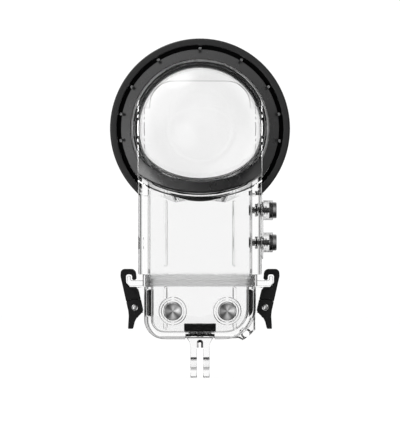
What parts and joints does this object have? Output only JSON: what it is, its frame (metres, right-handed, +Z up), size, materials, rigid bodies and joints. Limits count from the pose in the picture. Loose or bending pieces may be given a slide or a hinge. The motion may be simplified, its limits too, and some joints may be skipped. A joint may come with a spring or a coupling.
{
  "type": "underwater camera housing",
  "caption": "Clear underwater housing for a two-lens action camera: round head with front and rear domes, base cup held by side draw latches, push buttons and a two-prong foot.",
  "frame": {"origin": "Centre of the cross bore of the two-prong foot, midway between the prongs", "axes": "+Z up from the foot to the head, -Y out of the front with its two buttons, +X to the side with the two side buttons"},
  "size_m": [0.0866, 0.066, 0.1633],
  "materials": {
    "clear_plastic": "clear polished polycarbonate",
    "black_gloss": "smooth black plastic with a soft shine",
    "black_matte": "fine-grained black plastic",
    "rubber": "dull black rubber",
    "turned_steel": "turned stainless steel"
  },
  "bodies": {
    "housing": {"main_shell": "clear_plastic", "front_dome": "clear_plastic", "rear_dome": "clear_plastic", "base_cup": "clear_plastic", "mount_bracket": "clear_plastic", "front_bezel": "black_gloss", "rear_bezel": "black_gloss", "front_sill": "black_gloss", "rear_sill": "black_gloss", "front_outer_ring": "black_gloss", "rear_outer_ring": "black_gloss", "mount_retainer": "black_matte", "front_dome_seal": "rubber", "rear_dome_seal": "rubber", "wall_plug": "rubber", "base_gasket": "rubber", "side_pad_left": "rubber", "side_pad_right": "rubber", "mount_gasket": "rubber", "side_button_upper_seal": "rubber", "side_button_lower_seal": "rubber", "front_button_left_seal": "rubber", "front_button_right_seal": "rubber", "bracket_screw_left": "turned_steel", "bracket_screw_right": "turned_steel", "bracket_dowel": "turned_steel", "latch_pin_left": "turned_steel", "latch_pin_right": "turned_steel", "side_button_upper_spring": "turned_steel", "side_button_lower_spring": "turned_steel", "front_button_left_spring": "turned_steel", "front_button_right_spring": "turned_steel"},
    "side_button_upper": {"side_button_upper_cap": "turned_steel", "side_button_upper_tip": "black_matte"},
    "side_button_lower": {"side_button_lower_cap": "turned_steel", "side_button_lower_tip": "black_matte"},
    "front_button_left": {"front_button_left_cap": "turned_steel", "front_button_left_tip": "black_matte"},
    "front_button_right": {"front_button_right_cap": "turned_steel", "front_button_right_tip": "black_matte"},
    "latch_lever_left": {"latch_lever_left": "black_matte"},
    "latch_hook_left": {"latch_hook_left": "black_matte"},
    "latch_lever_right": {"latch_lever_right": "black_matte"},
    "latch_hook_right": {"latch_hook_right": "black_matte"}
  },
  "joints": [
    {"name": "side_button_upper_press", "type": "slide", "parent": "housing", "child": "side_button_upper", "axis": [-1, 0, 0], "range_m": [0, 0.0018], "stiffness_N_per_m": 400, "springref_m": -0.002, "deforming": ["side_button_upper_spring"]},
    {"name": "side_button_lower_press", "type": "slide", "parent": "housing", "child": "side_button_lower", "axis": [-1, 0, 0], "range_m": [0, 0.0018], "stiffness_N_per_m": 400, "springref_m": -0.002, "deforming": ["side_button_lower_spring"]},
    {"name": "front_button_left_press", "type": "slide", "parent": "housing", "child": "front_button_left", "axis": [0, 1, 0], "range_m": [0, 0.0018], "stiffness_N_per_m": 400, "springref_m": -0.002, "deforming": ["front_button_left_spring"]},
    {"name": "front_button_right_press", "type": "slide", "parent": "housing", "child": "front_button_right", "axis": [0, 1, 0], "range_m": [0, 0.0018], "stiffness_N_per_m": 400, "springref_m": -0.002, "deforming": ["front_button_right_spring"]},
    {"name": "latch_lever_left_turn", "type": "hinge", "parent": "housing", "child": "latch_lever_left", "pos_m": [-0.03135, 0, 0.0265], "axis": [0, 1, 0], "range_deg": [0, 90]},
    {"name": "latch_hook_left_turn", "type": "hinge", "parent": "latch_lever_left", "child": "latch_hook_left", "pos_m": [-0.03115, 0, 0.0231], "axis": [0, 1, 0], "range_deg": [-82, 0]},
    {"name": "latch_lever_right_turn", "type": "hinge", "parent": "housing", "child": "latch_lever_right", "pos_m": [0.03135, 0, 0.0265], "axis": [0, -1, 0], "range_deg": [0, 90]},
    {"name": "latch_hook_right_turn", "type": "hinge", "parent": "latch_lever_right", "child": "latch_hook_right", "pos_m": [0.03115, 0, 0.0231], "axis": [0, -1, 0], "range_deg": [-82, 0]}
  ],
  "couplings": [
    {"joint": "latch_hook_left_turn", "follows": "latch_lever_left_turn", "ratio": -0.875},
    {"joint": "latch_hook_right_turn", "follows": "latch_lever_right_turn", "ratio": -0.875}
  ]
}
